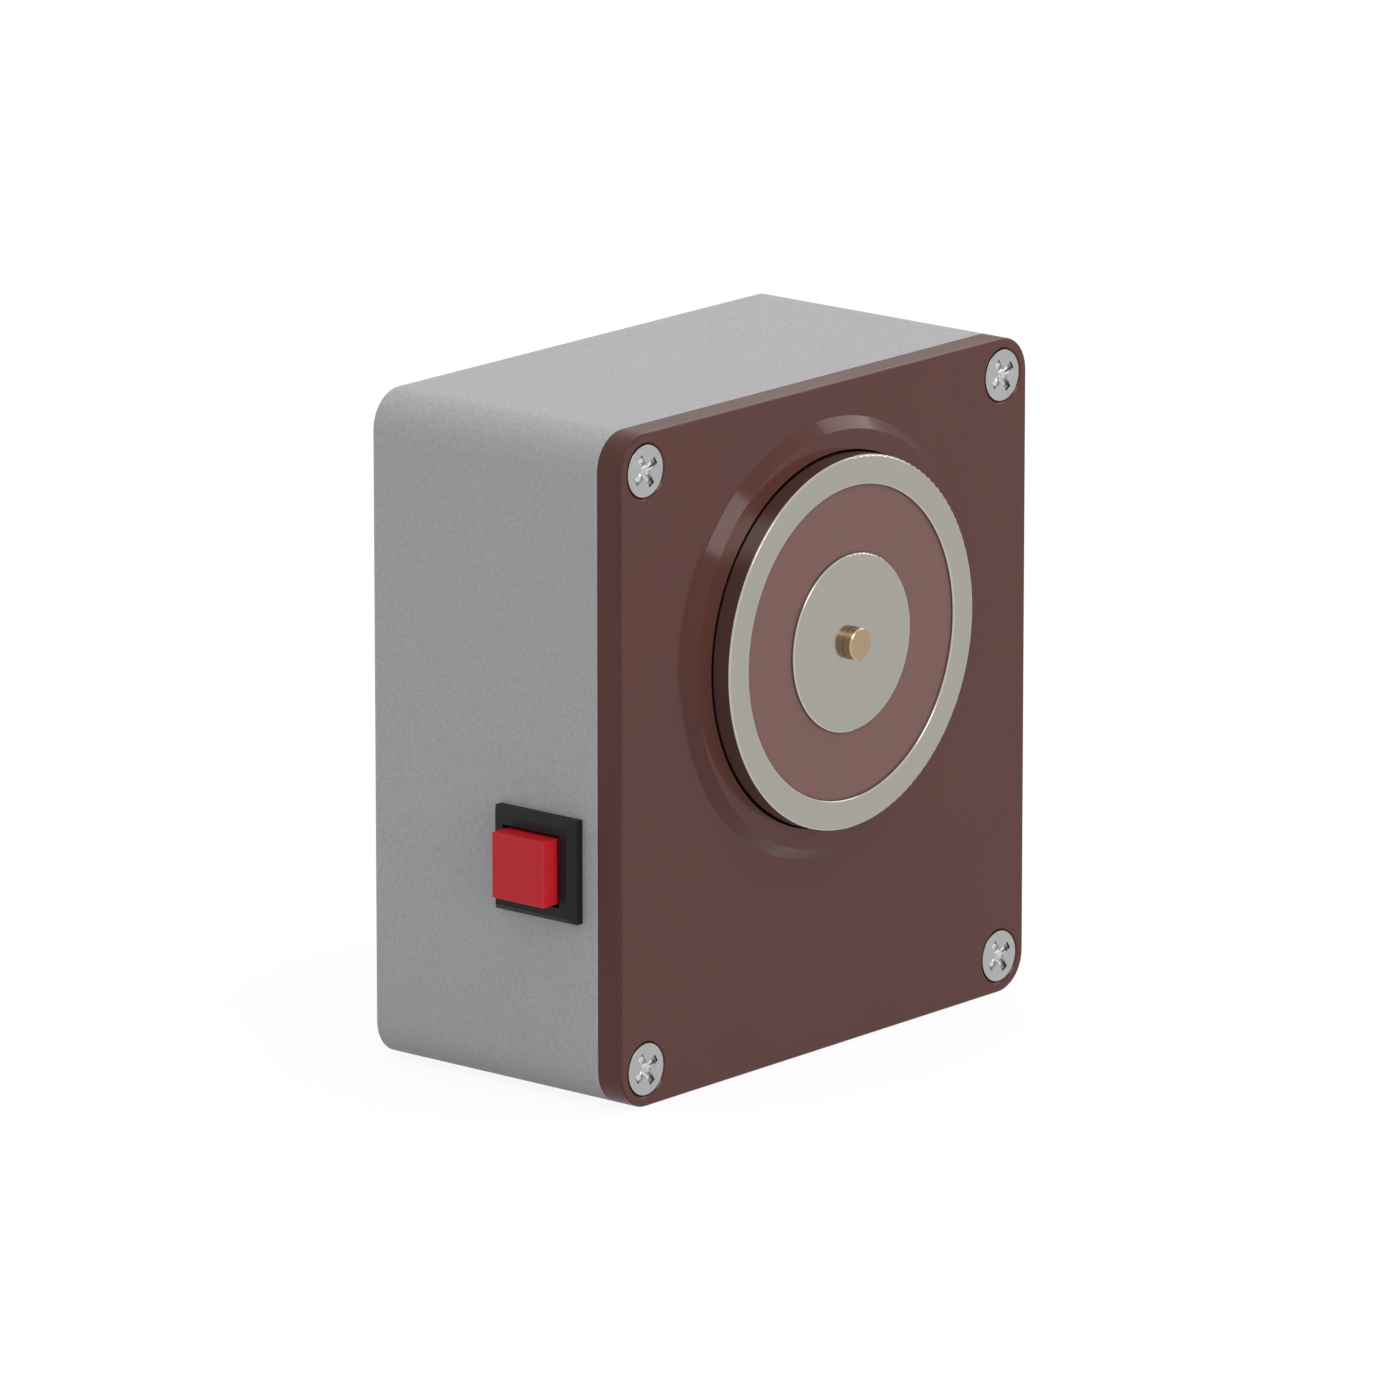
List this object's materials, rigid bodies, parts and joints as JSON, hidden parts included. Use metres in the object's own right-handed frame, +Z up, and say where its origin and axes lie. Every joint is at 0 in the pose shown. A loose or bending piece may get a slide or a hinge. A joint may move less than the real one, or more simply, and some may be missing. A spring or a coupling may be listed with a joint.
{
  "type": "electromagnetic door holder",
  "caption": "Wall-mounted box with a round electromagnet that holds a door open, and a side push button that lets it go.",
  "frame": {"origin": "centre of the back face, on the wall", "axes": "+X to the right, +Z up, +Y into the wall"},
  "size_m": [0.1054, 0.0578, 0.1078],
  "materials": {
    "housing": "grey speckled powder coat on a light alloy casting",
    "front_plate": "brown gloss, moulded",
    "cover_screws": "zinc plated",
    "magnet_body": "turned and nickel plated",
    "coil_bobbin": "natural nylon",
    "coil_winding": "enamelled copper wire",
    "potting_resin": "brown cast resin",
    "ejector_pin": "turned brass",
    "ejector_spring": "spring wire",
    "spring_plug": "zinc plated",
    "carrier_plate": "zinc plated sheet",
    "carrier_screws": "zinc plated",
    "carrier_washers": "zinc plated",
    "magnet_screws": "blackened",
    "magnet_washers": "blackened",
    "circuit_board": "glass fibre laminate with green lacquer",
    "board_screws": "zinc plated",
    "terminal_body": "green moulding",
    "terminal_clamps": "nickel plated",
    "terminal_screws": "zinc plated",
    "suppression_diode": "black moulding with tinned leads",
    "cable_grommet": "black rubber",
    "switch_body": "black satin moulding",
    "button_cap": "red moulding",
    "switch_plunger": "natural acetal",
    "return_spring": "spring wire",
    "contact_bridge": "silvered brass strip",
    "fixed_contacts": "brass strip",
    "switch_end_cover": "black moulding",
    "coil_lead_one": "red insulated lead",
    "coil_lead_two": "black insulated lead",
    "switch_lead_one": "yellow insulated lead",
    "switch_lead_two": "white insulated lead"
  },
  "bodies": {
    "holder": {"housing": "housing", "front_plate": "front_plate", "cover_screws": "cover_screws", "magnet_body": "magnet_body", "coil_bobbin": "coil_bobbin", "coil_winding": "coil_winding", "potting_resin": "potting_resin", "ejector_spring": "ejector_spring", "spring_plug": "spring_plug", "carrier_plate": "carrier_plate", "carrier_screws": "carrier_screws", "carrier_washers": "carrier_washers", "magnet_screws": "magnet_screws", "magnet_washers": "magnet_washers", "circuit_board": "circuit_board", "board_screws": "board_screws", "terminal_body": "terminal_body", "terminal_clamps": "terminal_clamps", "terminal_screws": "terminal_screws", "suppression_diode": "suppression_diode", "cable_grommet": "cable_grommet", "switch_body": "switch_body", "return_spring": "return_spring", "fixed_contacts": "fixed_contacts", "switch_end_cover": "switch_end_cover", "coil_lead_one": "coil_lead_one", "coil_lead_two": "coil_lead_two", "switch_lead_one": "switch_lead_one", "switch_lead_two": "switch_lead_two"},
    "button": {"button_cap": "button_cap", "switch_plunger": "switch_plunger", "contact_bridge": "contact_bridge"},
    "ejector": {"ejector_pin": "ejector_pin"}
  },
  "joints": [
    {"name": "button_press", "type": "slide", "parent": "holder", "child": "button", "axis": [1, 0, 0], "range_m": [0, 0.0025], "stiffness_N_per_m": 600, "deforming": ["return_spring"]},
    {"name": "ejector_press", "type": "slide", "parent": "holder", "child": "ejector", "axis": [0, 1, 0], "range_m": [0, 0.0017], "stiffness_N_per_m": 3000, "deforming": ["ejector_spring"]}
  ]
}
